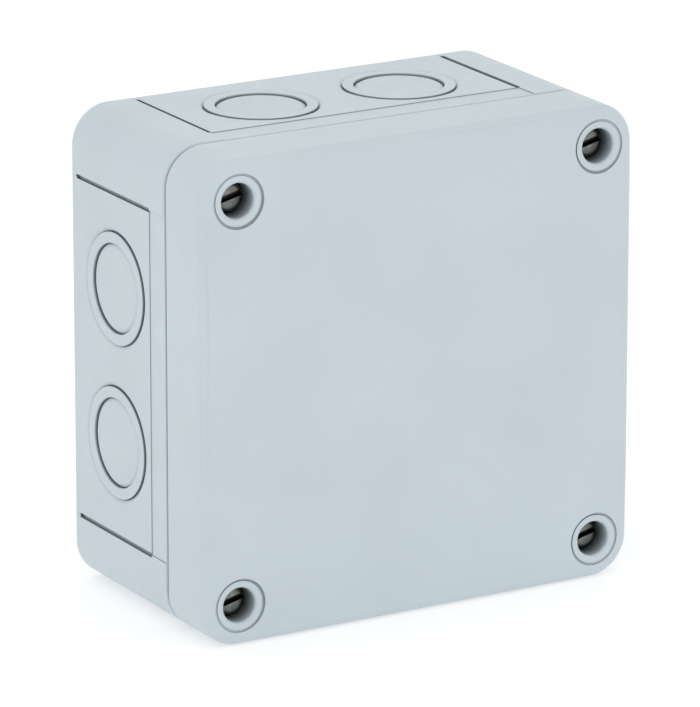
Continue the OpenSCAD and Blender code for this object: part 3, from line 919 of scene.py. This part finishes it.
def make_end_bracket(side):
    """Screwless end bracket: feet that snap on the rail, a ribbed grip and a slot for releasing it."""
    name = side + "_end_bracket"
    low, high = own_box(name)
    half, top = high.y, high.z
    ridge = [(half, RAIL_TOP + 8, 0.9), (12, top, 1.2)]
    outline = clipped(half, ridge + [(-y, z, r) for y, z, r in reversed(ridge)])
    bracket = solid("stop_" + side, [along_x(slab(outline, low.x, high.x, 0.35, 0.35, 4))])
    middle = (low.x + high.x) / 2
    label = pocket(rectangle((-2.6, -5.2), (2.6, 5.2), 0.4, 4), top - 0.9, top, 0.1, 0.15)
    cut(bracket, [moved(label, middle)])
    for s in (-1, 1):
        release = block((middle - 1.5, s * 17.2 - 1.1, RAIL_TOP + 6),
                        (middle + 1.5, s * 17.2 + 1.1, top), 0.3)
        cut(bracket, [release])
    for z in range(3):
        rib = rectangle((-9, RAIL_TOP + 4.2 + 3.2 * z), (9, RAIL_TOP + 5.6 + 3.2 * z), 0.5, 4)
        cut(bracket, [along_x(pocket(rib, high.x - 0.6, high.x, 0.1, 0.12))])
    return piece(bracket, "enclosure", BRACKET, [name])


make_base()
make_lid()
make_gasket()
make_caps()
make_inserts()
make_rail()
make_rail_screws()
make_earth_foot()
make_end_plate()
for side in ("left", "right"):
    make_end_bracket(side)
for corner in CORNERS:
    make_cover_screw(corner)
    make_screw_seal(corner)
for terminal in TERMINALS:
    coloured = {"n": (BLUE, "terminal_blue"), "pe": (GREEN, "terminal_green")}
    plastic, slot_name = coloured.get(terminal, (GREY, "terminal_grey"))
    make_housing(terminal, plastic)
    make_busbar(terminal)
    for side in ("upper", "lower"):
        make_cage(terminal, side)
        make_clamp_screw(terminal, side)


# ---- Studio ----

def make_floor():
    """Plain pale floor. Part of its brightness is its own, so that shadows on it stay faint."""
    bm = bmesh.new()
    bmesh.ops.create_circle(bm, cap_ends=True, segments=96, radius=8)
    mesh = bpy.data.meshes.new("floor")
    bm.to_mesh(mesh)
    bm.free()
    floor = bpy.data.objects.new("floor", mesh)
    bpy.context.scene.collection.objects.link(floor)
    floor.location.z = cad_bounds[0].z - 0.0002
    paint = Paint("floor_paper", 0.9, specular=0.1)
    paint.coloured(paint.mixed(paint.noise(0.4, 2), [0.62, 0.62, 0.62, 1], [0.63, 0.63, 0.63, 1]))
    paint.shader.inputs["Emission Color"].default_value = [1, 1, 1, 1]
    paint.shader.inputs["Emission Strength"].default_value = 0.45
    mesh.materials.append(paint.material)


def make_world():
    world = bpy.data.worlds.new("studio")
    world.use_nodes = True
    shade = world.node_tree.nodes["Background"]
    shade.inputs["Color"].default_value = [1, 1, 1, 1]
    shade.inputs["Strength"].default_value = 1.0
    bpy.context.scene.world = world


def make_softbox(name, azimuth, elevation, power, size, distance=0.9):
    """A square area light that faces the middle of the box."""
    a, e = math.radians(azimuth), math.radians(elevation)
    back = Vector((math.sin(a) * math.cos(e), -math.cos(a) * math.cos(e), math.sin(e)))
    light = bpy.data.lights.new(name, "AREA")
    light.energy = power
    light.size = size
    lamp = bpy.data.objects.new(name, light)
    bpy.context.scene.collection.objects.link(lamp)
    lamp.location = (cad_bounds[0] + cad_bounds[1]) / 2 + back * distance
    lamp.rotation_mode = "QUATERNION"
    lamp.rotation_quaternion = (-back).to_track_quat("-Z", "Y")
    lamp.visible_camera = False


def make_camera():
    """Long lens, in front, to the left and a little above."""
    azimuth, elevation, roll = math.radians(-30.47), math.radians(16.75), math.radians(0.06)
    aim = Vector((-0.01838, cad_bounds[0].y, 0.06278))
    distance = 1.3713
    camera = bpy.data.cameras.new("camera")
    camera.lens = 320.0
    camera.sensor_width = 36
    camera.clip_start = 0.05
    camera.clip_end = 60
    eye = bpy.data.objects.new("camera", camera)
    bpy.context.scene.collection.objects.link(eye)
    back = Vector((math.sin(azimuth) * math.cos(elevation), -math.cos(azimuth) * math.cos(elevation),
                   math.sin(elevation)))
    eye.location = aim + back * distance
    eye.rotation_mode = "QUATERNION"
    eye.rotation_quaternion = (-back).to_track_quat("-Z", "Y") @ Matrix.Rotation(roll, 3, "Z").to_quaternion()
    bpy.context.scene.camera = eye


bpy.context.scene.view_settings.view_transform = "Standard"
make_floor()
make_world()
make_softbox("key", -50, 50, 0.5, 0.7)
make_softbox("fill", 40, 25, 0.2, 0.9)
make_camera()

bpy.context.view_layer.update()
